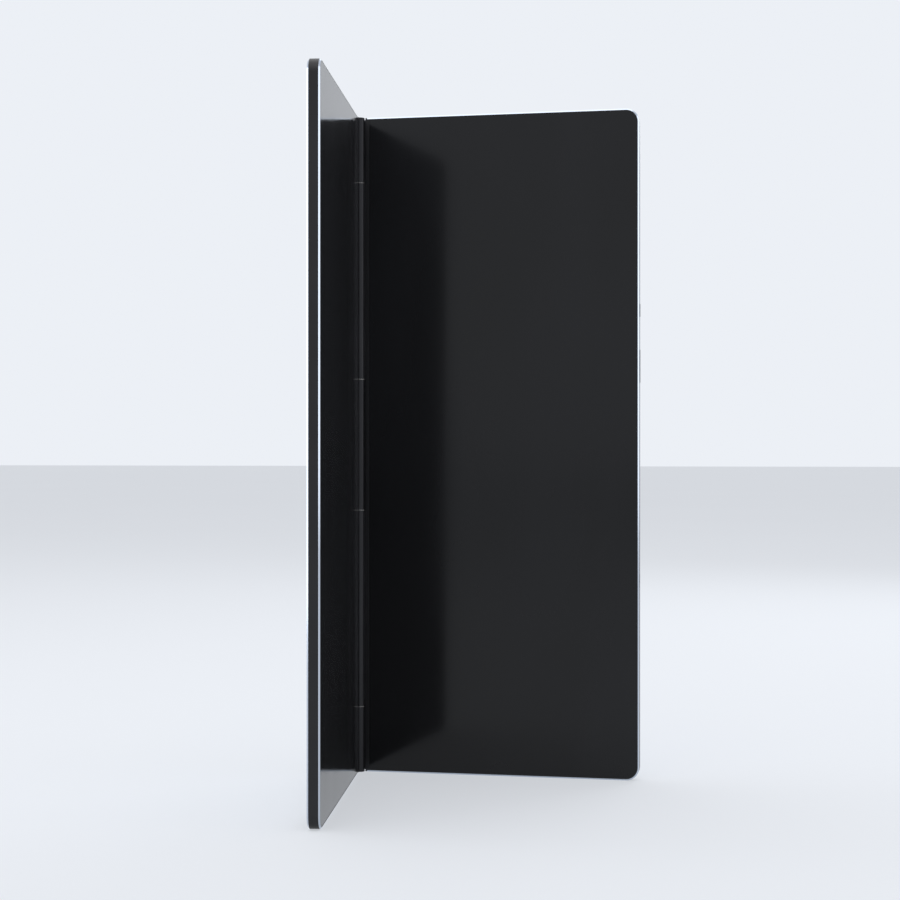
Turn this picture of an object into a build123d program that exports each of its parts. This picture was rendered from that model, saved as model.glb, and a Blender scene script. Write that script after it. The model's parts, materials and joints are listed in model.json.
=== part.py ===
"""Folding LED panel light: two slim edge-lit leaves joined like a book by a friction hinge.

The dark inner faces look at the viewer and the lit outer faces wash the wall or backdrop behind.
Frame: +Z up. The main leaf lies along X with its inner face towards -Y, and the wing leaf comes
forward from the hinge at its left. The origin is the mouth of the stand socket in the bottom rail.
"""

import os
from build123d import *

# ------------------------------------------------------------ driving sizes, in millimetres
leaf_height = 600.0
leaf_reach = 256.0  # hinge axis to free edge
leaf_thickness = 10.5
corner_radius = 12.0  # free corners; the corners at the spine are square
opening_angle = 83.0  # between the two inner faces, as stored
shut_gap = 0.8  # left between the inner faces when the light is folded shut
rim_chamfer = 1.3

side_rail = 8.0
end_rail = 10.0
ledge_width = 2.0  # step on the side rails that carries the mid plate
rim_width = 2.2  # metal between the outline and a rebate

cover_thickness = 1.2
mid_plate_thickness = 0.5
reflector_thickness = 0.2
guide_thickness = 2.0
film_thickness = 0.2
window_thickness = 1.2
lip_thickness = 0.8
lip_width = 4.0  # how far the bezel reaches over the opal window
clearance = 0.3  # around what drops into the frame
rebate_clearance = 0.1

barrel_radius = 4.5
pin_radius = 2.0
pin_length = 110.0
sleeve_bore_radius = 2.05
sleeve_radius = 3.1
sleeve_slot = 1.0
end_knuckle = 60.0
centre_knuckle = 120.0
knuckle_gap = 0.5
knuckle_swing_gap = 0.7  # barrel to hinge flange
flange_thickness = 1.5
flange_inset = 0.3
neck_depth = 5.0
seal_thickness = 0.8  # lip behind the barrel that keeps light from showing through the hinge
seal_start = 1.0  # from the hinge axis to the lip's free edge
plug_length = 5.0
hinge_screw_depth = 7.4  # below the inner face, clear of the knuckle necks
hinge_screw_pitch = 95.0

strip_thickness = 1.0
strip_width = 6.4
chip_length, chip_width, chip_height = 3.0, 1.4, 0.8
chip_pitch = 9.0

screw_radius = 1.0
screw_length = 5.0
screw_head_radius = 1.9
screw_hole_radius = 1.05
hex_radius, hex_depth = 0.75, 0.6

board_width = 40.0
board_height = 300.0
board_thickness = 0.8
board_lift = 1.0  # air between the cover and the board
wing_board_height = 90.0
connector_size = (8.0, 5.0, 2.0)

cell_height = 200.0
cell_gap = 5.0
cell_clearance = 0.4

lead_radius = 0.8
lead_hole_radius = 1.1
lead_bend = 2.0
lead_split = 0.3

button_length, button_width = 12.0, 2.8
button_proud = 0.5
button_travel = 0.5
slot_clearance = 0.2
flange_lip = 1.2  # how far a button's inner flange passes its slot
cap_flange_thickness = 1.0
pocket_depth = 3.0  # cut into the side rail from inside
foot_width = 1.0  # the button's reach to its switch, inside the slot
rocker_length = 30.0
rocker_pin_radius = 0.7
rocker_pin_clearance = 0.05
pipe_radius = 0.9

port_height, port_length, port_depth = 3.2, 8.9, 7.2
port_wall = 0.3
tongue_thickness = 0.7

socket_radius = 2.6  # tapping size of a quarter-inch camera thread
socket_length = 9.0

# ------------------------------------------------------------ places worked out from the sizes
mid_height = leaf_height / 2
spine_face = barrel_radius + knuckle_swing_gap + flange_thickness
bay_depth = leaf_thickness - (
    cover_thickness
    + mid_plate_thickness
    + reflector_thickness
    + guide_thickness
    + film_thickness
    + window_thickness
    + lip_thickness
)
mid_plate_at = cover_thickness + bay_depth
reflector_at = mid_plate_at + mid_plate_thickness
guide_at = reflector_at + reflector_thickness
film_at = guide_at + guide_thickness
window_at = film_at + film_thickness
lip_at = window_at + window_thickness

strip_at = window_at - strip_width
guide_end = end_rail + strip_thickness + chip_height + clearance
board_at = cover_thickness + board_lift
parts_at = board_at + board_thickness
board_right = leaf_reach - side_rail - ledge_width - 1.5
board_left = board_right - board_width
bay_left = spine_face + side_rail + ledge_width
cell_thickness = bay_depth - 2 * cell_clearance
cell_width = (board_left - bay_left - 3 * cell_gap) / 2
cell_bottom = mid_height - 20

control_depth = leaf_thickness / 2
power_button_z = mid_height + 120
pipe_z = power_button_z + 18
rocker_z = mid_height + 70
port_z = mid_height - 120
pocket_face = leaf_reach - side_rail + pocket_depth
switch_reach = leaf_reach - side_rail - 1.6
foot_depth = control_depth - (button_width - foot_width) / 2 + 0.05

main_lead_z = mid_height - centre_knuckle / 2 - 15
wing_lead_z = mid_height - centre_knuckle / 2 + 30
lead_corner = 11.0
lead_depth = parts_at + connector_size[2] / 2 - 0.4


class Leaf:
    """Where a leaf stands. Depth is counted from its inner face towards its lit face."""

    def __init__(self, name, swing, side):
        self.name = name
        self.side = side
        self.along = Vector(1, 0, 0).rotate(Axis.Z, -swing)
        self.out = Vector(0, side, 0).rotate(Axis.Z, -swing)
        self.axis_foot = Vector(-leaf_reach / 2, -leaf_thickness / 2 - shut_gap / 2, 0)

    def point(self, reach, depth, height):
        out = self.out * (shut_gap / 2 + depth)
        return self.axis_foot + self.along * reach + out + Vector(0, 0, height)

    def face(self, depth):
        """Plane parallel to the leaf: X from the hinge axis outwards, Y up from mid height."""
        origin = self.point(0, depth, mid_height)
        return Plane(origin, x_dir=self.along, z_dir=self.along.cross(Vector(0, 0, 1)))

    def outward(self, thickness):
        """Extrusion amount that goes from face() towards the lit face."""
        return -self.side * thickness

    def plan(self, height):
        """Horizontal plane with its origin on the hinge axis and X along the leaf."""
        origin = self.axis_foot + Vector(0, 0, height)
        return Plane(origin, x_dir=self.along, z_dir=(0, 0, 1))

    def plan_y(self, depth):
        return self.side * (shut_gap / 2 + depth)

    def edge(self, reach, height):
        """Plane across the leaf, facing its free edge: X is depth, Y is up."""
        origin = self.point(reach, 0, height)
        return Plane(origin, x_dir=self.out, z_dir=self.out.cross(Vector(0, 0, 1)))

    def edge_inward(self, length):
        """Extrusion amount that goes from edge() towards the hinge."""
        return -self.side * length

    def reach_of(self, shape):
        return (shape.center() - self.axis_foot).dot(self.along)

    def depth_axis(self):
        return Axis(tuple(self.point(0, 0, 0)), tuple(self.out))


main_leaf = Leaf("main", 0, 1)
wing_leaf = Leaf("wing", opening_angle, -1)
leaves = (main_leaf, wing_leaf)


def panel_outline(side_inset, end_inset, radius=0.0):
    """Adds a leaf-shaped face to the sketch being built, with round corners at the free edge."""
    left, right = spine_face + side_inset, leaf_reach - side_inset
    half = mid_height - end_inset
    with BuildSketch(mode=Mode.PRIVATE) as outline:
        with Locations(((left + right) / 2, 0)):
            Rectangle(right - left, 2 * half)
        if radius > 0:
            fillet(outline.vertices().group_by(Axis.X)[-1], radius)
    add(outline.sketch)


def plate(leaf, depth, thickness, side_inset, end_inset, radius=0.0):
    """A flat sheet in the leaf's stack."""
    with BuildPart() as sheet:
        with BuildSketch(leaf.face(depth)):
            panel_outline(side_inset, end_inset, radius)
        extrude(amount=leaf.outward(thickness))
    return sheet.part


def bezel_screw_places():
    """Screw centres on the leaf's face plane, in the middle of the bezel's thick border."""
    inset = (rim_width + side_rail) / 2
    rows = [share * leaf_height for share in (-0.43, -0.15, 0.15, 0.43)]
    sides = [(x, y) for x in (spine_face + inset, leaf_reach - inset) for y in rows]
    middle = (spine_face + leaf_reach) / 2
    end = mid_height - (rim_width + end_rail) / 2
    quarter = (leaf_reach - spine_face) / 4
    ends = [(middle + x, y) for x in (-quarter, quarter) for y in (-end, end)]
    return sides + ends


def hinge_screw_heights():
    count = int((leaf_height - 2 * end_rail) // hinge_screw_pitch)
    first = mid_height - (count - 1) * hinge_screw_pitch / 2
    return [first + i * hinge_screw_pitch for i in range(count)]


def lead_direction(leaf):
    """From the hinge axis to the corner of the lead's way through the spine rail."""
    return leaf.along * lead_corner + leaf.out * (shut_gap / 2 + lead_depth)


def lead_way(leaf):
    """The drillings that take the hinge lead from the barrel's bore to the bay."""
    height = lead_height(leaf)
    slant = lead_direction(leaf)
    with BuildPart() as way:
        with BuildSketch(Plane(leaf.plan(height).origin, z_dir=slant)):
            Circle(lead_hole_radius)
        extrude(amount=slant.length + lead_hole_radius / 2)
        with BuildSketch(Plane(leaf.point(lead_corner, lead_depth, height), z_dir=leaf.along)):
            Circle(lead_hole_radius)
        extrude(amount=bay_left - lead_corner + 1)
    return way.part


def lead_height(leaf):
    return main_lead_z if leaf is main_leaf else wing_lead_z


# ------------------------------------------------------------ frame, cover and light stack


def control_cuts():
    """Slots, pockets and holes for what sits in the main leaf's free edge."""
    with BuildPart() as cuts:
        for height, length in ((power_button_z, button_length), (rocker_z, rocker_length)):
            slot = length + 2 * slot_clearance
            with BuildSketch(main_leaf.edge(leaf_reach + 1, height)):
                with Locations((control_depth, 0)):
                    SlotOverall(slot, button_width + 2 * slot_clearance, rotation=90)
            extrude(amount=main_leaf.edge_inward(side_rail))
            pocket_width = button_width + 2 * flange_lip + 4 * slot_clearance
            with BuildSketch(main_leaf.edge(pocket_face, height)):
                with Locations((control_depth, 0)):
                    Rectangle(pocket_width, slot + 2 * flange_lip + 2 * slot_clearance)
            extrude(amount=main_leaf.edge_inward(pocket_depth + ledge_width + 1))
        with BuildSketch(main_leaf.edge(leaf_reach + 1, port_z)):
            with Locations((control_depth, 0)):
                SlotOverall(port_length, port_height, rotation=90)
        extrude(amount=main_leaf.edge_inward(side_rail + ledge_width + 2))
        with BuildSketch(main_leaf.edge(leaf_reach + 1, pipe_z)):
            with Locations((control_depth - lip_thickness, 0)):
                Circle(pipe_radius)
        extrude(amount=main_leaf.edge_inward(side_rail + ledge_width + 2))
        with BuildSketch(main_leaf.face(window_at + 1)):
            with Locations((rocker_axis_reach, rocker_z - mid_height)):
                Circle(rocker_pin_radius)
        extrude(amount=-main_leaf.outward(rocker_pin_length + 1))
    return cuts.part


rocker_axis_reach = (pocket_face + leaf_reach) / 2 - 0.4
rocker_pin_length = window_at - cover_thickness - 1.0


def make_frame(leaf):
    """Machined rail ring: bright chamfers on both rims, a rebate for the cover and the bezel."""
    way = lead_way(leaf)
    controls = control_cuts()
    with BuildPart() as frame:
        with BuildSketch(leaf.face(0)):
            panel_outline(0, 0, corner_radius)
        extrude(amount=leaf.outward(leaf_thickness))
        rims = frame.faces().sort_by(leaf.depth_axis())
        edges = rims[0].edges() + rims[-1].edges()
        away_from_spine = edges.filter_by(lambda e: leaf.reach_of(e) > spine_face + 1)
        chamfer(away_from_spine, rim_chamfer)
        inner_radius = corner_radius - rim_width
        with BuildSketch(leaf.face(0)):
            panel_outline(rim_width, rim_width, inner_radius)
        extrude(amount=leaf.outward(cover_thickness), mode=Mode.SUBTRACT)
        with BuildSketch(leaf.face(window_at)):
            panel_outline(rim_width, rim_width, inner_radius)
        extrude(amount=leaf.outward(leaf_thickness - window_at), mode=Mode.SUBTRACT)
        with BuildSketch(leaf.face(0)):
            panel_outline(side_rail + ledge_width, end_rail)
        extrude(amount=leaf.outward(leaf_thickness), mode=Mode.SUBTRACT)
        with BuildSketch(leaf.face(mid_plate_at)):
            panel_outline(side_rail, end_rail)
        extrude(amount=leaf.outward(leaf_thickness), mode=Mode.SUBTRACT)

        with BuildSketch(leaf.face(window_at)):
            with Locations(*bezel_screw_places()):
                Circle(screw_hole_radius)
        extrude(amount=-leaf.outward(screw_length), mode=Mode.SUBTRACT)
        for height in hinge_screw_heights():
            with BuildSketch(leaf.edge(spine_face - 1, height)):
                with Locations((hinge_screw_depth, 0)):
                    Circle(screw_hole_radius)
            extrude(amount=-leaf.edge_inward(screw_length + 1), mode=Mode.SUBTRACT)
        add(way, mode=Mode.SUBTRACT)
        if leaf is main_leaf:
            add(controls, mode=Mode.SUBTRACT)
            for height, depth in ((0, socket_length), (leaf_height, -socket_length)):
                with BuildSketch(Plane.XY.offset(height)):
                    Circle(socket_radius)
                extrude(amount=depth, mode=Mode.SUBTRACT)
    return frame.part


def make_cover(leaf):
    """Gloss panel bonded into the inner rebate, flush with the rim."""
    inset = rim_width + rebate_clearance
    return plate(leaf, 0, cover_thickness, inset, inset, corner_radius - inset)


def make_bezel(leaf):
    """Border that screws down over the opal window: thick outside, a thin lip inside."""
    inset = rim_width + rebate_clearance
    with BuildPart() as bezel:
        with BuildSketch(leaf.face(window_at)):
            panel_outline(inset, inset, corner_radius - inset)
        extrude(amount=leaf.outward(leaf_thickness - window_at))
        with BuildSketch(leaf.face(window_at)):
            panel_outline(side_rail, end_rail)
        extrude(amount=leaf.outward(window_thickness), mode=Mode.SUBTRACT)
        with BuildSketch(leaf.face(window_at)):
            panel_outline(side_rail + lip_width, end_rail + lip_width)
        extrude(amount=leaf.outward(leaf_thickness), mode=Mode.SUBTRACT)
        with BuildSketch(leaf.face(leaf_thickness)):
            with Locations(*bezel_screw_places()):
                Circle(screw_head_radius)
        sink = screw_head_radius - screw_hole_radius
        extrude(amount=-leaf.outward(sink), taper=45, mode=Mode.SUBTRACT)
        with BuildSketch(leaf.face(window_at)):
            with Locations(*bezel_screw_places()):
                Circle(screw_hole_radius)
        extrude(amount=leaf.outward(leaf_thickness), mode=Mode.SUBTRACT)
    return bezel.part


def make_bezel_screws(leaf):
    """Countersunk hex screws, one solid each."""
    with BuildPart() as screws:
        with BuildSketch(leaf.face(leaf_thickness)):
            with Locations(*bezel_screw_places()):
                Circle(screw_head_radius - 0.05)
        extrude(amount=-leaf.outward(screw_head_radius - 0.05 - screw_radius), taper=45)
        with BuildSketch(leaf.face(leaf_thickness - 0.2)):
            with Locations(*bezel_screw_places()):
                Circle(screw_radius)
        extrude(amount=-leaf.outward(screw_length))
        with BuildSketch(leaf.face(leaf_thickness)):
            with Locations(*bezel_screw_places()):
                RegularPolygon(hex_radius, 6)
        extrude(amount=-leaf.outward(hex_depth), mode=Mode.SUBTRACT)
    return screws.part


def strip_ends():
    """Face-plane Y and the direction into the leaf for the bottom and the top strip."""
    return ((end_rail - mid_height, 1), (mid_height - end_rail, -1))


def make_led_strips(leaf):
    """A light bar standing against each end rail, its lower half bare for the leads."""
    length = leaf_reach - spine_face - 2 * (side_rail + ledge_width + clearance)
    middle = (leaf_reach + spine_face) / 2
    with BuildPart() as strips:
        with BuildSketch(leaf.face(strip_at)):
            for end, inwards in strip_ends():
                with Locations((middle, end + inwards * strip_thickness / 2)):
                    Rectangle(length, strip_thickness)
        extrude(amount=leaf.outward(strip_width - 0.1))
    return strips.part


def make_led_chips(leaf):
    """White emitters on the bars, facing the light guide's edge."""
    length = leaf_reach - spine_face - 2 * (side_rail + ledge_width) - chip_pitch
    count = int(length // chip_pitch)
    middle = (leaf_reach + spine_face) / 2
    with BuildPart() as chips:
        with BuildSketch(leaf.face(guide_at + (guide_thickness - chip_width) / 2)):
            for end, inwards in strip_ends():
                row = end + inwards * (strip_thickness + chip_height / 2)
                with Locations((middle, row)):
                    with GridLocations(chip_pitch, 1, count, 1):
                        Rectangle(chip_length, chip_height)
        extrude(amount=leaf.outward(chip_width))
    return chips.part


# ------------------------------------------------------------ batteries and boards


def make_cells(leaf):
    """Two pouch cells side by side, each with its folded top seal."""
    with BuildPart() as cells:
        middle = bay_left + cell_gap + cell_width + cell_gap / 2
        centre = cell_bottom + cell_height / 2 - mid_height
        with BuildSketch(leaf.face(cover_thickness + cell_clearance)):
            with Locations((middle, centre)):
                with GridLocations(cell_width + cell_gap, 1, 2, 1):
                    RectangleRounded(cell_width, cell_height, 3)
        extrude(amount=leaf.outward(cell_thickness))
        with BuildSketch(leaf.face(cover_thickness + cell_clearance)):
            with Locations((middle, centre + cell_height / 2 + 2)):
                with GridLocations(cell_width + cell_gap, 1, 2, 1):
                    Rectangle(cell_width - 10, 6)
        extrude(amount=leaf.outward(cell_thickness / 2))
    return cells.part


def board_size(leaf):
    return board_height if leaf is main_leaf else wing_board_height


def board_screw_places(leaf):
    half = board_size(leaf) / 2 - 6
    middle = (board_left + board_right) / 2
    return [(middle + x, y) for x in (-board_width / 2 + 4, 0) for y in (-half, half)]


def make_board(leaf):
    """Driver and control board on the main leaf, a junction board on the wing."""
    with BuildPart() as board:
        with BuildSketch(leaf.face(board_at)):
            with Locations(((board_left + board_right) / 2, 0)):
                RectangleRounded(board_width, board_size(leaf), 2)
        extrude(amount=leaf.outward(board_thickness))
        with BuildSketch(leaf.face(board_at)):
            with Locations(*board_screw_places(leaf)):
                Circle(screw_hole_radius)
        extrude(amount=leaf.outward(board_thickness), mode=Mode.SUBTRACT)
    return board.part


def connector_places(leaf):
    """Connectors at the board's two ends for the strip leads, and one towards the hinge."""
    length, width, _ = connector_size
    middle = (board_left + board_right) / 2
    half = board_size(leaf) / 2 - width / 2
    lead_y = lead_height(leaf) - mid_height
    lead_y = max(-half + length, lead_y) if leaf is wing_leaf else lead_y
    return [
        (middle + 8, half, length, width),
        (middle + 8, -half, length, width),
        (board_left + width / 2, lead_y, width, length),
    ]


def make_board_parts(leaf):
    """Inductors, driver chips and connectors, as separate solids on the board."""
    tallest = bay_depth - board_lift - board_thickness - 0.2
    middle = (board_left + board_right) / 2
    blocks = [(middle - 8, y, 10, 10) for y in (-90, -74, 74, 90)]
    blocks += [(middle + 2, y, 7, 7) for y in (-20, 0)]
    if leaf is wing_leaf:
        blocks = [(middle - 4, y, 8, 8) for y in (-18, 18)]
    with BuildPart() as parts:
        with BuildSketch(leaf.face(parts_at)):
            for x, y, width, height in blocks:
                with Locations((x, y)):
                    RectangleRounded(width, height, 1)
        extrude(amount=leaf.outward(tallest))
        with BuildSketch(leaf.face(parts_at)):
            for x, y, width, height in connector_places(leaf):
                with Locations((x, y)):
                    Rectangle(width, height)
        extrude(amount=leaf.outward(min(connector_size[2], tallest)))
    return parts.part


def make_board_spacers(leaf):
    """Turned posts between the board and the mid plate."""
    with BuildPart() as spacers:
        with BuildSketch(leaf.face(parts_at)):
            with Locations(*board_screw_places(leaf)):
                Circle(2.2)
                Circle(screw_hole_radius, mode=Mode.SUBTRACT)
        extrude(amount=leaf.outward(mid_plate_at - parts_at))
    return spacers.part


def make_board_screws(leaf):
    """Low-head screws from the cover side, through board and spacer into the mid plate."""
    head = 0.7
    with BuildPart() as screws:
        with BuildSketch(leaf.face(board_at)):
            with Locations(*board_screw_places(leaf)):
                Circle(screw_head_radius)
        extrude(amount=-leaf.outward(head))
        with BuildSketch(leaf.face(board_at)):
            with Locations(*board_screw_places(leaf)):
                Circle(screw_radius)
        extrude(amount=leaf.outward(reflector_at - board_at))
    return screws.part


def make_mid_plate(leaf):
    """Heat spreader and floor of the light stack, drilled for the board screws."""
    with BuildPart() as mid_plate:
        with BuildSketch(leaf.face(mid_plate_at)):
            panel_outline(side_rail + clearance, end_rail + strip_thickness + clearance)
            with Locations(*board_screw_places(leaf)):
                Circle(screw_hole_radius, mode=Mode.SUBTRACT)
        extrude(amount=leaf.outward(mid_plate_thickness))
    return mid_plate.part


def make_strip_leads(leaf):
    """Straight supply leads from the board's end connectors to the light bars."""
    x = connector_places(leaf)[0][0]
    start = board_size(leaf) / 2
    length = mid_height - end_rail - strip_thickness - start
    depth = parts_at + connector_size[2] / 2
    with BuildPart() as leads:
        for way in (1, -1):
            origin = leaf.point(x, depth, mid_height + way * start)
            with BuildSketch(Plane(origin, z_dir=(0, 0, way))):
                Circle(lead_radius)
            extrude(amount=length)
    return leads.part


# ------------------------------------------------------------ hinge


def knuckle_spans(leaf):
    """Height ranges of a leaf's knuckles: the ends and centre are the wing's, the rest the main's."""
    gap = knuckle_gap / 2
    ends = (end_knuckle, leaf_height - end_knuckle)
    centre = (mid_height - centre_knuckle / 2, mid_height + centre_knuckle / 2)
    if leaf is main_leaf:
        return [(ends[0] + gap, centre[0] - gap), (centre[1] + gap, ends[1] - gap)]
    return [
        (flange_inset, ends[0] - gap),
        (centre[0] + gap, centre[1] - gap),
        (ends[1] + gap, leaf_height - flange_inset),
    ]


def make_hinge_leaf(leaf):
    """Knuckles, necks, the light seal and the flange that screws to the spine rail."""
    plan_top = leaf.plan_y(0)
    flange_middle = spine_face - flange_thickness / 2
    seal_middle = leaf.plan_y(leaf_thickness - flange_inset - seal_thickness / 2)
    way = lead_way(leaf)
    with BuildPart() as hinge_leaf:
        with BuildSketch(leaf.plan(flange_inset)):
            with Locations((flange_middle, leaf.plan_y(leaf_thickness / 2))):
                Rectangle(flange_thickness, leaf_thickness - 2 * flange_inset)
            with Locations(((seal_start + flange_middle) / 2, seal_middle)):
                Rectangle(flange_middle - seal_start, seal_thickness)
        extrude(amount=leaf_height - 2 * flange_inset)
        for low, high in knuckle_spans(leaf):
            with BuildSketch(leaf.plan(low)):
                Circle(barrel_radius)
                with Locations((flange_middle / 2, plan_top + leaf.side * neck_depth / 2)):
                    Rectangle(flange_middle, neck_depth)
            extrude(amount=high - low)
        for low, high in knuckle_spans(leaf):
            at_end = high - low <= end_knuckle and leaf is wing_leaf
            with BuildSketch(leaf.plan(low)):
                Circle(sleeve_radius if at_end else pin_radius)
            extrude(amount=high - low, mode=Mode.SUBTRACT)
        for height in hinge_screw_heights():
            with BuildSketch(leaf.edge(spine_face - flange_thickness, height)):
                with Locations((hinge_screw_depth, 0)):
                    Circle(screw_head_radius)
            sink = screw_head_radius - screw_hole_radius
            extrude(amount=-leaf.edge_inward(sink), taper=45, mode=Mode.SUBTRACT)
            with BuildSketch(leaf.edge(spine_face - flange_thickness, height)):
                with Locations((hinge_screw_depth, 0)):
                    Circle(screw_hole_radius)
            extrude(amount=-leaf.edge_inward(flange_thickness), mode=Mode.SUBTRACT)
        add(way, mode=Mode.SUBTRACT)
    return hinge_leaf.part


def make_hinge_screws(leaf):
    """Countersunk screws that hold the hinge flange to the spine rail."""
    head = screw_head_radius - 0.05
    with BuildPart() as screws:
        for height in hinge_screw_heights():
            with BuildSketch(leaf.edge(spine_face - flange_thickness, height)):
                with Locations((hinge_screw_depth, 0)):
                    Circle(head)
            extrude(amount=-leaf.edge_inward(head - screw_radius), taper=45)
            with BuildSketch(leaf.edge(spine_face - flange_thickness + 0.2, height)):
                with Locations((hinge_screw_depth, 0)):
                    Circle(screw_radius)
            extrude(amount=-leaf.edge_inward(screw_length))
            with BuildSketch(leaf.edge(spine_face - flange_thickness, height)):
                with Locations((hinge_screw_depth, 0)):
                    RegularPolygon(hex_radius, 6)
            extrude(amount=-leaf.edge_inward(hex_depth), mode=Mode.SUBTRACT)
    return screws.part


def pin_starts():
    """Bottom height of the lower and the upper hinge pin."""
    inset = flange_inset + plug_length + 0.5
    return (inset, leaf_height - inset - pin_length)


def make_hinge_pins():
    """Two steel pins, pressed into the main knuckles and gripped in the wing's end knuckles."""
    with BuildPart() as pins:
        for start in pin_starts():
            with BuildSketch(main_leaf.plan(start)):
                Circle(pin_radius)
            extrude(amount=pin_length)
        chamfer(pins.edges().filter_by(GeomType.CIRCLE), 0.3)
    return pins.part


def make_friction_sleeves():
    """Split spring sleeves in the wing's end knuckles that grip the pins."""
    length = end_knuckle - flange_inset - plug_length - knuckle_gap - 0.5
    starts = (flange_inset + plug_length + 0.3, leaf_height - end_knuckle + knuckle_gap)
    with BuildPart() as sleeves:
        for start in starts:
            with BuildSketch(wing_leaf.plan(start)):
                Circle(sleeve_radius)
                Circle(sleeve_bore_radius, mode=Mode.SUBTRACT)
                with Locations((sleeve_radius / 2 + sleeve_bore_radius / 2, 0)):
                    Rectangle(sleeve_radius, sleeve_slot, mode=Mode.SUBTRACT)
            extrude(amount=length)
    return sleeves.part


def make_barrel_plugs():
    """Press-in caps that close the two ends of the barrel."""
    with BuildPart() as plugs:
        for start in (flange_inset, leaf_height - flange_inset - plug_length):
            with BuildSketch(wing_leaf.plan(start)):
                Circle(sleeve_radius)
            extrude(amount=plug_length)
    return plugs.part


def make_hinge_washers():
    """Thrust washers between neighbouring knuckles."""
    side_play = 0.05
    with BuildPart() as washers:
        for low, high in knuckle_spans(main_leaf):
            for start in (low - knuckle_gap + side_play, high + side_play):
                with BuildSketch(main_leaf.plan(start)):
                    Circle(barrel_radius - 0.3)
                    Circle(pin_radius + 0.1, mode=Mode.SUBTRACT)
                extrude(amount=knuckle_gap - 2 * side_play)
    return washers.part


def make_hinge_lead(leaf):
    """Supply lead from the board, along the bay and through the spine into the hollow barrel."""
    height = lead_height(leaf)
    split = (main_lead_z + wing_lead_z) / 2
    x, y, width, _ = connector_places(leaf)[2]
    start = mid_height + y
    route = [leaf.point(x - width / 2, lead_depth, start)]
    if abs(start - height) > 1:
        turn = bay_left + cell_gap + 2 * cell_width / 3
        route += [leaf.point(turn, lead_depth, start), leaf.point(turn, lead_depth, height)]
    route += [
        leaf.point(lead_corner, lead_depth, height),
        leaf.plan(height).origin,
        leaf.plan(split + leaf.side * -lead_split / 2).origin,
    ]
    bends = [8 * lead_radius] * (len(route) - 4) + [4 * lead_radius, lead_bend]
    with BuildPart() as lead:
        with BuildLine() as path:
            FilletPolyline(*route, radius=bends)
        with BuildSketch(Plane(path.line @ 0, z_dir=path.line % 0)):
            Circle(lead_radius)
        sweep(path=path.line)
    return lead.part


# ------------------------------------------------------------ controls in the main leaf's free edge


def switch_places():
    foot = rocker_length / 2 - 5
    return (power_button_z, rocker_z - foot, rocker_z + foot)


def make_power_button():
    """Push button: cap, retaining flange and a foot that reaches the switch."""
    tip = leaf_reach + button_proud
    flange_at = pocket_face - rebate_clearance
    foot_end = switch_reach + button_travel + rebate_clearance
    with BuildPart() as button:
        with BuildSketch(main_leaf.edge(tip, power_button_z)):
            with Locations((control_depth, 0)):
                SlotOverall(button_length, button_width, rotation=90)
        extrude(amount=main_leaf.edge_inward(tip - flange_at))
        fillet(button.faces().sort_by(Axis.X)[-1].edges(), 0.4)
        with BuildSketch(main_leaf.edge(flange_at, power_button_z)):
            with Locations((control_depth, 0)):
                Rectangle(button_width + 2 * flange_lip, button_length + 2 * flange_lip)
        extrude(amount=main_leaf.edge_inward(cap_flange_thickness))
        with BuildSketch(main_leaf.edge(flange_at, power_button_z)):
            with Locations((foot_depth, 0)):
                Rectangle(foot_width, 3.0)
        extrude(amount=main_leaf.edge_inward(flange_at - foot_end))
    return button.part


def make_dimmer_rocker():
    """Two-way rocker on a cross pin, with a foot for each of its two switches."""
    tip = leaf_reach + button_proud
    root = rocker_axis_reach - 1.6
    foot_end = switch_reach + button_travel + rebate_clearance
    with BuildPart() as rocker:
        with BuildSketch(main_leaf.edge(tip, rocker_z)):
            with Locations((control_depth, 0)):
                SlotOverall(rocker_length, button_width, rotation=90)
        extrude(amount=main_leaf.edge_inward(tip - root))
        fillet(rocker.faces().sort_by(Axis.X)[-1].edges(), 0.4)
        thumb_dish = 60.0
        with BuildSketch(Plane.XZ.offset(leaf_thickness)):
            with Locations((tip + thumb_dish - 0.35, rocker_z)):
                Circle(thumb_dish)
        extrude(amount=-2 * leaf_thickness, mode=Mode.SUBTRACT)
        with BuildSketch(main_leaf.edge(root, rocker_z)):
            for height in switch_places()[1:]:
                with Locations((foot_depth, height - rocker_z)):
                    Rectangle(foot_width, 3.0)
        extrude(amount=main_leaf.edge_inward(root - foot_end))
        with BuildSketch(main_leaf.face(0)):
            with Locations((rocker_axis_reach, rocker_z - mid_height)):
                Circle(rocker_pin_radius + rocker_pin_clearance)
        extrude(amount=main_leaf.outward(leaf_thickness), mode=Mode.SUBTRACT)
    return rocker.part


def make_rocker_pin():
    """Cross pin, dropped in from the lit side and trapped by the bezel."""
    with BuildPart() as pin:
        with BuildSketch(main_leaf.face(window_at - 0.1)):
            with Locations((rocker_axis_reach, rocker_z - mid_height)):
                Circle(rocker_pin_radius)
        extrude(amount=-main_leaf.outward(rocker_pin_length - 0.1))
    return pin.part


def make_switches():
    """Side-push switches on the board's outer edge, each with its plunger."""
    body = 3.0
    with BuildPart() as switches:
        for height in switch_places():
            with BuildSketch(main_leaf.edge(board_right, height)):
                with Locations((parts_at + 1.0, 0)):
                    Rectangle(2.0, 4.6)
            extrude(amount=main_leaf.edge_inward(body))
            with BuildSketch(main_leaf.edge(switch_reach, height)):
                with Locations((parts_at + 1.0, 0)):
                    Rectangle(1.2, 1.8)
            extrude(amount=main_leaf.edge_inward(switch_reach - board_right + 0.5))
    return switches.part


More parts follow.
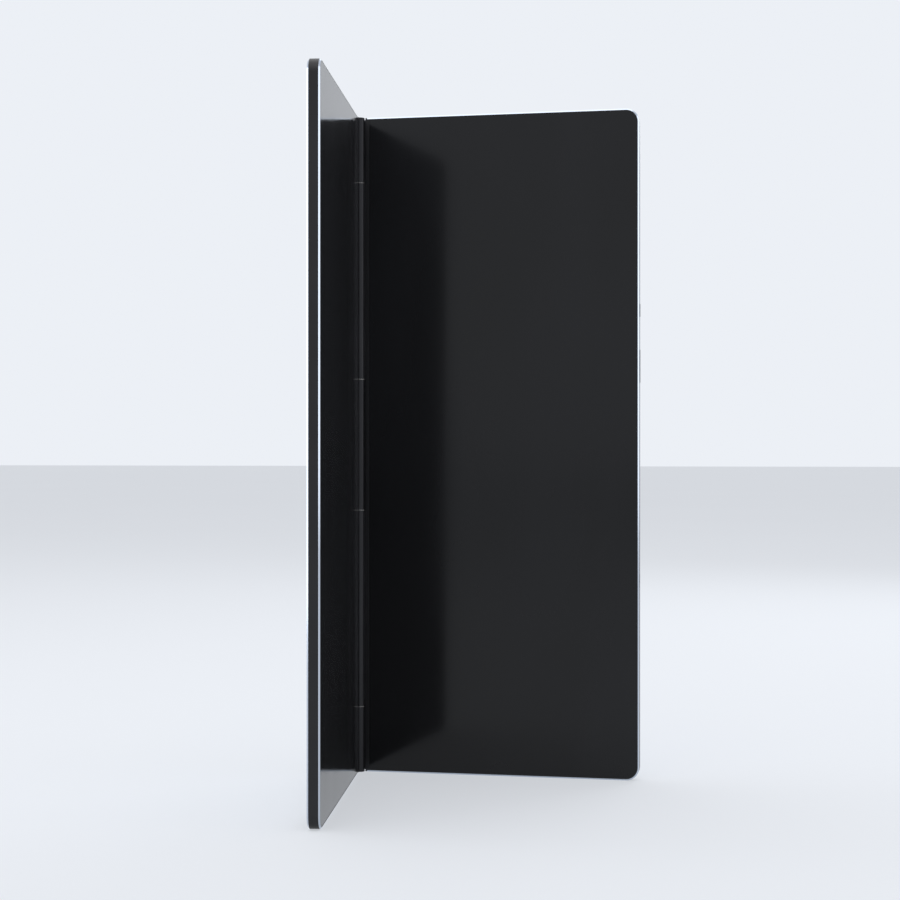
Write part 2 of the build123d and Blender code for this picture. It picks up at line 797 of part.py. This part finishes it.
def make_charge_port():
    """Drawn metal shell of the charging inlet."""
    with BuildPart() as port:
        with BuildSketch(main_leaf.edge(leaf_reach - 0.2, port_z)):
            with Locations((control_depth, 0)):
                SlotOverall(port_length, port_height, rotation=90)
                SlotOverall(
                    port_length - 2 * port_wall,
                    port_height - 2 * port_wall,
                    rotation=90,
                    mode=Mode.SUBTRACT,
                )
        extrude(amount=main_leaf.edge_inward(port_depth))
        with BuildSketch(main_leaf.edge(leaf_reach - port_depth, port_z)):
            with Locations((control_depth, 0)):
                SlotOverall(port_length, port_height, rotation=90)
        extrude(amount=main_leaf.edge_inward(port_wall))
    return port.part


def make_port_tongue():
    """Contact tongue in the middle of the inlet."""
    with BuildPart() as tongue:
        with BuildSketch(main_leaf.edge(leaf_reach - 1.2, port_z)):
            with Locations((control_depth, 0)):
                Rectangle(tongue_thickness, port_length - 2.4)
        extrude(amount=main_leaf.edge_inward(port_depth - 1.2))
    return tongue.part


def make_light_pipe():
    """Clear rod that shows the charge light at the edge."""
    with BuildPart() as pipe:
        with BuildSketch(main_leaf.edge(leaf_reach - 0.1, pipe_z)):
            with Locations((control_depth - lip_thickness, 0)):
                Circle(pipe_radius)
        extrude(amount=main_leaf.edge_inward(side_rail + ledge_width))
    return pipe.part


# ------------------------------------------------------------ build and write every piece

end_play = end_rail + clearance
pieces = {}
for leaf in leaves:
    name = leaf.name
    pieces[f"{name}_frame"] = make_frame(leaf)
    pieces[f"{name}_cover"] = make_cover(leaf)
    pieces[f"{name}_mid_plate"] = make_mid_plate(leaf)
    pieces[f"{name}_reflector"] = plate(
        leaf, reflector_at, reflector_thickness, side_rail + clearance, guide_end
    )
    pieces[f"{name}_light_guide"] = plate(
        leaf, guide_at, guide_thickness, side_rail + clearance, guide_end
    )
    pieces[f"{name}_diffuser_film"] = plate(
        leaf, film_at, film_thickness, side_rail + clearance, end_play + strip_thickness
    )
    pieces[f"{name}_opal_window"] = plate(
        leaf, window_at, window_thickness, side_rail + clearance, end_play
    )
    pieces[f"{name}_bezel"] = make_bezel(leaf)
    pieces[f"{name}_bezel_screws"] = make_bezel_screws(leaf)
    pieces[f"{name}_led_strips"] = make_led_strips(leaf)
    pieces[f"{name}_led_chips"] = make_led_chips(leaf)
    pieces[f"{name}_battery_cells"] = make_cells(leaf)
    pieces[f"{name}_board"] = make_board(leaf)
    pieces[f"{name}_board_parts"] = make_board_parts(leaf)
    pieces[f"{name}_board_spacers"] = make_board_spacers(leaf)
    pieces[f"{name}_board_screws"] = make_board_screws(leaf)
    pieces[f"{name}_strip_leads"] = make_strip_leads(leaf)
    pieces[f"{name}_hinge_leaf"] = make_hinge_leaf(leaf)
    pieces[f"{name}_hinge_screws"] = make_hinge_screws(leaf)
    pieces[f"{name}_hinge_lead"] = make_hinge_lead(leaf)
pieces["hinge_pins"] = make_hinge_pins()
pieces["friction_sleeves"] = make_friction_sleeves()
pieces["barrel_plugs"] = make_barrel_plugs()
pieces["hinge_washers"] = make_hinge_washers()
pieces["power_button"] = make_power_button()
pieces["dimmer_rocker"] = make_dimmer_rocker()
pieces["rocker_pin"] = make_rocker_pin()
pieces["push_switches"] = make_switches()
pieces["charge_port"] = make_charge_port()
pieces["port_tongue"] = make_port_tongue()
pieces["light_pipe"] = make_light_pipe()

os.makedirs("parts", exist_ok=True)
for name, piece in pieces.items():
    piece.label = name
    export_step(piece, f"parts/{name}.step")
print(f"{len(pieces)} pieces; spine face at {spine_face:.2f}, bay {bay_depth:.2f} deep")
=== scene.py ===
import json
import math

import bpy
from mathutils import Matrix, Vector


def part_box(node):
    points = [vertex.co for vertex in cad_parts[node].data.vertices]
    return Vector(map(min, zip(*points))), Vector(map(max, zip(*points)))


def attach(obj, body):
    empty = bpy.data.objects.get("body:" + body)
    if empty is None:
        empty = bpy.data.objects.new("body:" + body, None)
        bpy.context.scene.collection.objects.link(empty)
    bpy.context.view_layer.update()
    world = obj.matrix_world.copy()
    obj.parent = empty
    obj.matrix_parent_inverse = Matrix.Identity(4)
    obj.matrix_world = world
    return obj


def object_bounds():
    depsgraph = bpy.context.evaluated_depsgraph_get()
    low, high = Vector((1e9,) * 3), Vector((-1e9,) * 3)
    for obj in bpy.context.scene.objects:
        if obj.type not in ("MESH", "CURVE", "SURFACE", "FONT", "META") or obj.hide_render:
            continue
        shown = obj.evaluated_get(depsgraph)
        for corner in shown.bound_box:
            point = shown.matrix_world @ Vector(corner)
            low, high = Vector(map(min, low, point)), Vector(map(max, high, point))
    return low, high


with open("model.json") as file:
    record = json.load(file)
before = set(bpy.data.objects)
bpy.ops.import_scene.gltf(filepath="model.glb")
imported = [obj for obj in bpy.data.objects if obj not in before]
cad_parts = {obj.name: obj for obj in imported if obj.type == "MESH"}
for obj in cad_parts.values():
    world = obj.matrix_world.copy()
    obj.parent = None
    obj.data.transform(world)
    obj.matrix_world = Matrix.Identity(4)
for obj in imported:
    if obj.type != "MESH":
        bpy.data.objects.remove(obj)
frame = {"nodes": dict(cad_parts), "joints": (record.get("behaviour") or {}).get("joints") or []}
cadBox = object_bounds()
nodes = frame["nodes"]
joints = {j["name"]: j for j in frame["joints"]}
print("frame loaded:", len(nodes), "nodes")


def newMaterial(name):
    mat = bpy.data.materials.new(name)
    mat.use_nodes = True
    tree = mat.node_tree
    shader = tree.nodes["Principled BSDF"]
    coords = tree.nodes.new("ShaderNodeTexCoord")
    return mat, tree, shader, coords


def addNoise(tree, coords, scale, detail=3.0, stretch=(1, 1, 1)):
    mapping = tree.nodes.new("ShaderNodeMapping")
    mapping.inputs["Scale"].default_value = stretch
    tree.links.new(coords.outputs["Object"], mapping.inputs["Vector"])
    noise = tree.nodes.new("ShaderNodeTexNoise")
    noise.inputs["Scale"].default_value = scale
    noise.inputs["Detail"].default_value = detail
    tree.links.new(mapping.outputs["Vector"], noise.inputs["Vector"])
    return noise.outputs["Fac"]


def addRange(tree, value, low, high, fromLow=0.35, fromHigh=0.65):
    span = tree.nodes.new("ShaderNodeMapRange")
    span.inputs["From Min"].default_value = fromLow
    span.inputs["From Max"].default_value = fromHigh
    span.inputs["To Min"].default_value = low
    span.inputs["To Max"].default_value = high
    tree.links.new(value, span.inputs["Value"])
    return span.outputs["Result"]


def addMix(tree, factor, first, second):
    mix = tree.nodes.new("ShaderNodeMix")
    mix.data_type = "RGBA"
    for socket, value in ((mix.inputs[6], first), (mix.inputs[7], second)):
        if isinstance(value, tuple):
            socket.default_value = (*value, 1)
        else:
            tree.links.new(value, socket)
    tree.links.new(factor, mix.inputs[0])
    return mix.outputs[2]


def addBump(tree, shader, height, strength, distance):
    bump = tree.nodes.new("ShaderNodeBump")
    bump.inputs["Strength"].default_value = strength
    bump.inputs["Distance"].default_value = distance
    tree.links.new(height, bump.inputs["Height"])
    tree.links.new(bump.outputs["Normal"], shader.inputs["Normal"])


def addMath(tree, kind, first, second=None):
    step = tree.nodes.new("ShaderNodeMath")
    step.operation = kind
    for socket, value in zip(step.inputs, (first, second)):
        if value is None:
            continue
        if isinstance(value, (int, float)):
            socket.default_value = value
        else:
            tree.links.new(value, socket)
    return step.outputs[0]


# each finish: colour, how far it drifts, roughness low and high, metal, grain size and depth
finishes = {
    "spreader": dict(color=(0.60, 0.61, 0.63), drift=0.9, rough=(0.30, 0.42), metal=1.0,
                     grain=900, depth=0.00002, stretch=(1, 1, 0.03)),
    "whiteFilm": dict(color=(0.86, 0.86, 0.86), drift=0.97, rough=(0.55, 0.7), metal=0.0,
                      grain=500, depth=0.00001),
    "clearGuide": dict(color=(0.80, 0.87, 0.89), drift=0.95, rough=(0.06, 0.14), metal=0.0,
                       grain=120, depth=0.00001),
    "screwSteel": dict(color=(0.20, 0.20, 0.21), drift=0.7, rough=(0.28, 0.42), metal=1.0,
                       grain=2500, depth=0.00002),
    "springSteel": dict(color=(0.45, 0.44, 0.43), drift=0.85, rough=(0.22, 0.35), metal=1.0,
                        grain=1200, depth=0.00002, stretch=(1, 1, 0.05)),
    "barWhite": dict(color=(0.84, 0.84, 0.82), drift=0.95, rough=(0.4, 0.5), metal=0.0,
                     grain=800, depth=0.00002),
    "emitter": dict(color=(0.86, 0.72, 0.25), drift=0.9, rough=(0.3, 0.4), metal=0.0,
                    grain=4000, depth=0.00003),
    "cellFoil": dict(color=(0.58, 0.59, 0.62), drift=0.85, rough=(0.32, 0.48), metal=0.9,
                     grain=160, depth=0.0002),
    "boardGreen": dict(color=(0.02, 0.13, 0.06), drift=0.75, rough=(0.3, 0.4), metal=0.0,
                       grain=700, depth=0.00004),
    "componentBlack": dict(color=(0.03, 0.03, 0.034), drift=0.8, rough=(0.45, 0.6), metal=0.0,
                           grain=2500, depth=0.00004),
    "brassPost": dict(color=(0.62, 0.45, 0.18), drift=0.85, rough=(0.25, 0.35), metal=1.0,
                      grain=1500, depth=0.00002, stretch=(1, 1, 0.1)),
    "leadRed": dict(color=(0.38, 0.02, 0.02), drift=0.85, rough=(0.45, 0.6), metal=0.0,
                    grain=900, depth=0.00003),
    "leadBlack": dict(color=(0.018, 0.018, 0.02), drift=0.8, rough=(0.45, 0.6), metal=0.0,
                      grain=900, depth=0.00003),
    "washerNylon": dict(color=(0.70, 0.69, 0.65), drift=0.92, rough=(0.4, 0.5), metal=0.0,
                        grain=1500, depth=0.00002),
    "portShell": dict(color=(0.50, 0.50, 0.51), drift=0.85, rough=(0.18, 0.30), metal=1.0,
                      grain=2200, depth=0.00002, stretch=(0.1, 1, 1)),
    "hingeMetal": dict(color=(0.024, 0.024, 0.027), drift=0.8, rough=(0.26, 0.38), metal=0.6,
                       grain=1400, depth=0.00003, stretch=(1, 1, 0.02)),
    "bezelBlack": dict(color=(0.016, 0.016, 0.018), drift=0.8, rough=(0.34, 0.46), metal=0.2,
                       grain=2600, depth=0.00004),
    "buttonBlack": dict(color=(0.03, 0.03, 0.032), drift=0.8, rough=(0.38, 0.5), metal=0.0,
                        grain=3000, depth=0.00005),
    "capBlack": dict(color=(0.02, 0.02, 0.022), drift=0.8, rough=(0.4, 0.5), metal=0.0,
                     grain=2600, depth=0.00004),
    "markWhite": dict(color=(0.72, 0.74, 0.76), drift=0.95, rough=(0.45, 0.55), metal=0.0,
                      grain=3000, depth=0.00001),
}


grainLook = dict(cloud=14.0, detail=4.0, bump=0.6)


def makeFinish(name):
    s = finishes[name]
    g = grainLook
    mat, tree, shader, coords = newMaterial(name)
    cloud = addNoise(tree, coords, g["cloud"])
    grain = addNoise(tree, coords, s["grain"], g["detail"], s.get("stretch", (1, 1, 1)))
    shade = tuple(c * s["drift"] for c in s["color"])
    tree.links.new(addMix(tree, addRange(tree, cloud, 0, 1), s["color"], shade),
                   shader.inputs["Base Color"])
    tree.links.new(addRange(tree, grain, *s["rough"]), shader.inputs["Roughness"])
    shader.inputs["Metallic"].default_value = s["metal"]
    addBump(tree, shader, grain, g["bump"], s["depth"])
    return mat


coverLook = dict(color=(0.0055, 0.0057, 0.0065), warm=(0.0085, 0.0088, 0.0105), smear=9.0,
                 specular=0.26, rough=(0.10, 0.17), coat=0.05, coatRough=0.05, wave=2.2,
                 waveBump=0.25, waveDepth=0.0006, smearDetail=5.0, smearStretch=(1, 1, 0.35),
                 dust=900.0, speck=0.12, speckSpan=(0.66, 0.74))


def makeCoverBlack():
    # gloss panel: almost black, faint cloth smears, the slightest waviness in its reflections
    s = coverLook
    mat, tree, shader, coords = newMaterial("coverBlack")
    smear = addNoise(tree, coords, s["smear"], s["smearDetail"], s["smearStretch"])
    dust = addNoise(tree, coords, s["dust"], 2.0)
    tree.links.new(addMix(tree, addRange(tree, smear, 0, 1), s["color"], s["warm"]),
                   shader.inputs["Base Color"])
    rough = addRange(tree, smear, *s["rough"])
    speck = addRange(tree, dust, 0.0, s["speck"], *s["speckSpan"])
    tree.links.new(addMath(tree, "ADD", rough, speck), shader.inputs["Roughness"])
    shader.inputs["Specular IOR Level"].default_value = s["specular"]
    shader.inputs["Coat Weight"].default_value = s["coat"]
    shader.inputs["Coat Roughness"].default_value = s["coatRough"]
    wave = addNoise(tree, coords, s["wave"], 1.0)
    addBump(tree, shader, wave, s["waveBump"], s["waveDepth"])
    return mat


railLook = dict(black=(0.014, 0.014, 0.016), bright=(0.55, 0.60, 0.68), blackRough=(0.30, 0.42),
                brightRough=0.16, grain=1500, stretch=(1, 1, 0.03), bump=0.5, depth=0.00003,
                cloud=20.0, shade=0.75, metal=0.35, slantSpan=(0.10, 0.16))


def makeRail(name, out):
    # anodised black with bright cut chamfers, found by their slant from the leaf's flat sides
    s = railLook
    mat, tree, shader, coords = newMaterial(name)
    dot = tree.nodes.new("ShaderNodeVectorMath")
    dot.operation = "DOT_PRODUCT"
    dot.inputs[1].default_value = out
    tree.links.new(coords.outputs["Normal"], dot.inputs[0])
    lean = addMath(tree, "ABSOLUTE", dot.outputs["Value"])
    offSlant = addMath(tree, "ABSOLUTE", addMath(tree, "SUBTRACT", lean, math.sqrt(0.5)))
    cut = addRange(tree, offSlant, 1.0, 0.0, *s["slantSpan"])
    grain = addNoise(tree, coords, s["grain"], grainLook["detail"], s["stretch"])
    cloud = addNoise(tree, coords, s["cloud"])
    dark = tuple(c * s["shade"] for c in s["black"])
    body = addMix(tree, addRange(tree, cloud, 0, 1), s["black"], dark)
    tree.links.new(addMix(tree, cut, body, s["bright"]), shader.inputs["Base Color"])
    rough = addRange(tree, grain, *s["blackRough"])
    gap = addMath(tree, "SUBTRACT", s["brightRough"], rough)
    tree.links.new(addMath(tree, "ADD", rough, addMath(tree, "MULTIPLY", gap, cut)),
                   shader.inputs["Roughness"])
    shine = addMath(tree, "MULTIPLY", 1 - s["metal"], cut)
    tree.links.new(addMath(tree, "ADD", s["metal"], shine), shader.inputs["Metallic"])
    addBump(tree, shader, grain, s["bump"], s["depth"])
    return mat


opalLook = dict(color=(0.73, 0.77, 0.83), edge=(0.72, 0.765, 0.83), rough=(0.34, 0.42),
                glow=(0.62, 0.78, 1.0), glowPower=0.10, dots=1300, dotSpan=(0.1, 0.7),
                bump=0.4, depth=0.00006, cloud=5.0)


def makeOpal():
    # opal sheet: faint cool glow and a fine moulded texture
    s = opalLook
    mat, tree, shader, coords = newMaterial("opal")
    cloud = addNoise(tree, coords, s["cloud"], 2.0)
    tree.links.new(addMix(tree, addRange(tree, cloud, 0, 1), s["color"], s["edge"]),
                   shader.inputs["Base Color"])
    dots = tree.nodes.new("ShaderNodeTexVoronoi")
    dots.inputs["Scale"].default_value = s["dots"]
    tree.links.new(coords.outputs["Object"], dots.inputs["Vector"])
    tree.links.new(addRange(tree, dots.outputs["Distance"], *s["rough"], *s["dotSpan"]),
                   shader.inputs["Roughness"])
    addBump(tree, shader, dots.outputs["Distance"], s["bump"], s["depth"])
    shader.inputs["Emission Color"].default_value = (*s["glow"], 1)
    shader.inputs["Emission Strength"].default_value = s["glowPower"]
    return mat


# the hinge's upper limit is shut, so it is also the opening between the leaves at rest
swing = math.radians(joints["leaf_hinge"]["range_deg"][1])
mainOut = Vector((0, 1, 0))
wingOut = Vector((-math.sin(swing), -math.cos(swing), 0))
looks = {name: makeFinish(name) for name in finishes}
looks["coverBlack"] = makeCoverBlack()
looks["opal"] = makeOpal()
looks["mainRail"] = makeRail("mainRail", mainOut)
looks["wingRail"] = makeRail("wingRail", wingOut)

leafFinish = {
    "cover": "coverBlack", "mid_plate": "spreader", "reflector": "whiteFilm",
    "light_guide": "clearGuide", "diffuser_film": "whiteFilm", "opal_window": "opal",
    "bezel": "bezelBlack", "bezel_screws": "screwSteel", "led_strips": "barWhite",
    "led_chips": "emitter", "battery_cells": "cellFoil", "board": "boardGreen",
    "board_parts": "componentBlack", "board_spacers": "brassPost",
    "board_screws": "screwSteel", "strip_leads": "leadRed", "hinge_leaf": "hingeMetal",
    "hinge_screws": "screwSteel", "hinge_lead": "leadBlack",
}
nodeFinish = {f"{side}_{part}": look for side in ("main", "wing")
              for part, look in leafFinish.items()}
nodeFinish.update({
    "main_frame": "mainRail", "wing_frame": "wingRail", "hinge_pins": "springSteel",
    "friction_sleeves": "springSteel", "barrel_plugs": "capBlack",
    "hinge_washers": "washerNylon", "power_button": "buttonBlack",
    "dimmer_rocker": "buttonBlack", "rocker_pin": "springSteel",
    "push_switches": "componentBlack", "charge_port": "portShell",
    "port_tongue": "componentBlack", "light_pipe": "clearGuide",
})
for name, obj in nodes.items():
    obj.data.materials.clear()
    obj.data.materials.append(looks[nodeFinish[name]])
print("finishes on", len(nodes), "nodes")


def onlyThis(obj):
    bpy.ops.object.select_all(action="DESELECT")
    obj.select_set(True)
    bpy.context.view_layer.objects.active = obj


def finishPiece(obj, name, look, body):
    onlyThis(obj)
    bpy.ops.object.transform_apply(location=True, rotation=True, scale=True)
    obj.name = name
    obj.data.name = name
    obj.data.materials.clear()
    obj.data.materials.append(looks[look])
    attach(obj, body)


markLook = dict(height=0.00012, rounding=0.3, segments=2, arm=0.0016, width=0.0003,
                ring=0.00085, ringWidth=0.00018, ringGap=28, ringSegments=40, ringSides=10,
                stemRise=0.8, endInset=0.0045, sunk=0.0002)


def markBar(place, length, width):
    # a flat bar standing on the button's face, its corners rounded
    s = markLook
    bpy.ops.object.select_all(action="DESELECT")
    bpy.ops.mesh.primitive_cube_add(size=1, location=place)
    bar = bpy.context.object
    bar.scale = (s["height"], width, length)
    bpy.ops.object.transform_apply(location=False, rotation=False, scale=True)
    bpy.ops.object.mode_set(mode="EDIT")
    bpy.ops.mesh.select_all(action="SELECT")
    bpy.ops.mesh.bevel(offset=s["height"] * s["rounding"], segments=s["segments"],
                       affect="EDGES")
    bpy.ops.mesh.normals_make_consistent(inside=False)
    bpy.ops.object.mode_set(mode="OBJECT")
    return bar


def joinAs(parts, name, look, body):
    bpy.ops.object.select_all(action="DESELECT")
    for part in parts:
        part.select_set(True)
    bpy.context.view_layer.objects.active = parts[0]
    bpy.ops.object.join()
    finishPiece(bpy.context.object, name, look, body)


# the buttons sit in the middle of the edge
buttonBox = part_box("power_button")
depthMiddle = (buttonBox[0].y + buttonBox[1].y) / 2


def makeDimmerMarks():
    # plus at the top of the rocker, minus at the bottom, just inside its rounded ends
    low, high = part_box("dimmer_rocker")
    s = markLook
    face = Vector((high.x - s["sunk"], depthMiddle, 0))
    top = face + Vector((0, 0, high.z - s["endInset"]))
    bottom = face + Vector((0, 0, low.z + s["endInset"]))
    plus = [markBar(top, s["arm"], s["width"]), markBar(top, s["width"], s["arm"])]
    joinAs(plus, "plus_mark", "markWhite", "dimmer_rocker")
    minus = markBar(bottom, s["width"], s["arm"])
    finishPiece(minus, "minus_mark", "markWhite", "dimmer_rocker")


def makePowerMark():
    # broken ring with a stem, the plain on-off sign
    s = markLook
    low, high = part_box("power_button")
    centre = Vector((high.x, depthMiddle, (low.z + high.z) / 2))
    bpy.ops.object.select_all(action="DESELECT")
    bpy.ops.mesh.primitive_torus_add(location=centre, rotation=(0, math.pi / 2, 0),
                                     major_radius=s["ring"], minor_radius=s["ringWidth"] / 2,
                                     major_segments=s["ringSegments"],
                                     minor_segments=s["ringSides"])
    ring = bpy.context.object
    bpy.ops.object.transform_apply(location=True, rotation=True, scale=True)
    bpy.ops.object.mode_set(mode="EDIT")
    bpy.ops.mesh.select_all(action="DESELECT")
    bpy.ops.object.mode_set(mode="OBJECT")
    opening = math.radians(s["ringGap"])
    for v in ring.data.vertices:
        away = ring.matrix_world @ v.co - centre
        v.select = abs(math.atan2(away.y, away.z)) < opening
    bpy.ops.object.mode_set(mode="EDIT")
    bpy.ops.mesh.delete(type="VERT")
    bpy.ops.mesh.select_all(action="SELECT")
    bpy.ops.mesh.region_to_loop()
    bpy.ops.mesh.edge_face_add()
    bpy.ops.mesh.select_all(action="SELECT")
    bpy.ops.mesh.normals_make_consistent(inside=False)
    bpy.ops.object.mode_set(mode="OBJECT")
    stem = markBar(centre + Vector((0, 0, s["ring"] * s["stemRise"])), s["ring"], s["ringWidth"])
    joinAs([ring, stem], "power_mark", "markWhite", "power_button")


makeDimmerMarks()
makePowerMark()
print("marks made")


room = dict(floor=(0.80, 0.82, 0.85), floorSize=60.0, world=(0.86, 0.88, 0.92), worldPower=0.6,
            backdrop=(0.84, 0.87, 0.92), floorLift=0.55, floorRough=0.85, cloud=0.8, shade=0.985)


def addSeenRays(tree):
    # 1 for what the camera sees straight, in gloss or through glass
    rays = tree.nodes.new("ShaderNodeLightPath")
    straight = addMath(tree, "MAXIMUM", rays.outputs["Is Camera Ray"],
                       rays.outputs["Is Glossy Ray"])
    return addMath(tree, "MAXIMUM", straight, rays.outputs["Is Transmission Ray"])


def makeRoom():
    s = room
    bpy.ops.object.select_all(action="DESELECT")
    bpy.ops.mesh.primitive_plane_add(size=s["floorSize"], location=(0, 0, 0))
    floor = bpy.context.object
    floor.name = "floor"
    mat, tree, shader, coords = newMaterial("floorPaint")
    cloud = addNoise(tree, coords, s["cloud"])
    shade = tuple(c * s["shade"] for c in s["floor"])
    tree.links.new(addMix(tree, addRange(tree, cloud, 0, 1), s["floor"], shade),
                   shader.inputs["Base Color"])
    shader.inputs["Roughness"].default_value = s["floorRough"]
    lift = tree.nodes.new("ShaderNodeEmission")
    lift.inputs["Color"].default_value = (*s["backdrop"], 1)
    blend = tree.nodes.new("ShaderNodeMixShader")
    tree.links.new(addMath(tree, "MULTIPLY", addSeenRays(tree), s["floorLift"]), blend.inputs[0])
    tree.links.new(shader.outputs[0], blend.inputs[1])
    tree.links.new(lift.outputs[0], blend.inputs[2])
    tree.links.new(blend.outputs[0], tree.nodes["Material Output"].inputs["Surface"])
    floor.data.materials.append(mat)

    world = bpy.data.worlds.new("studioAir")
    bpy.context.scene.world = world
    world.use_nodes = True
    tree = world.node_tree
    light = tree.nodes["Background"]
    light.inputs["Color"].default_value = (*s["world"], 1)
    light.inputs["Strength"].default_value = s["worldPower"]
    seen = tree.nodes.new("ShaderNodeBackground")
    seen.inputs["Color"].default_value = (*s["backdrop"], 1)
    seen.inputs["Strength"].default_value = 1.0
    mix = tree.nodes.new("ShaderNodeMixShader")
    tree.links.new(addSeenRays(tree), mix.inputs[0])
    tree.links.new(light.outputs[0], mix.inputs[1])
    tree.links.new(seen.outputs[0], mix.inputs[2])
    tree.links.new(mix.outputs[0], tree.nodes["World Output"].inputs["Surface"])


lamps = {
    "topLight": dict(place=(-0.6, -0.6, 3.2), size=(4.5, 4.5), power=62, color=(1.0, 0.99, 0.98)),
    "leftStrip": dict(place=(-1.7, -0.1, 0.5), size=(0.5, 1.5), power=4, color=(0.95, 0.98, 1.0)),
    "rightStrip": dict(place=(1.7, -0.2, 0.9), size=(0.5, 1.6), power=2.2, color=(0.97, 0.98, 1.0)),
    "backLight": dict(place=(0.9, 1.9, 1.5), size=(1.6, 1.2), power=14, color=(0.94, 0.97, 1.0)),
}


def makeLamps():
    lowest, highest = cadBox
    aim = Vector((0, 0, (lowest.z + highest.z) / 2))
    for name, s in lamps.items():
        bpy.ops.object.light_add(type="AREA", location=s["place"])
        lamp = bpy.context.object
        lamp.name = name
        lamp.data.shape = "RECTANGLE"
        lamp.data.size, lamp.data.size_y = s["size"]
        lamp.data.energy = s["power"]
        lamp.data.color = s["color"]
        lamp.rotation_mode = "QUATERNION"
        lamp.rotation_quaternion = (aim - Vector(s["place"])).to_track_quat("-Z", "Y")


# the camera stands level, at about mid height, a little to the right of the main leaf's normal
shot = dict(turn=10.85, distance=1.607, aside=0.0829, drop=0.0049, lens=70.0, sensor=36.0)


def makeCamera():
    s = shot
    turn = math.radians(s["turn"])
    ahead = Vector((-math.sin(turn), math.cos(turn), 0))
    right = Vector((math.cos(turn), math.sin(turn), 0))
    lowest, highest = cadBox
    hinge = Vector(joints["leaf_hinge"]["pos_m"])
    fold = Vector((hinge.x, hinge.y, (lowest.z + highest.z) / 2))
    place = fold - ahead * s["distance"] + right * s["aside"] - Vector((0, 0, s["drop"]))
    bpy.ops.object.camera_add(location=place, rotation=(math.pi / 2, 0, turn))
    camera = bpy.context.object
    camera.data.lens = s["lens"]
    camera.data.sensor_width = s["sensor"]
    bpy.context.scene.camera = camera


makeRoom()
makeLamps()
makeCamera()
bpy.context.scene.view_settings.view_transform = "Standard"
print("room, lamps and camera ready")
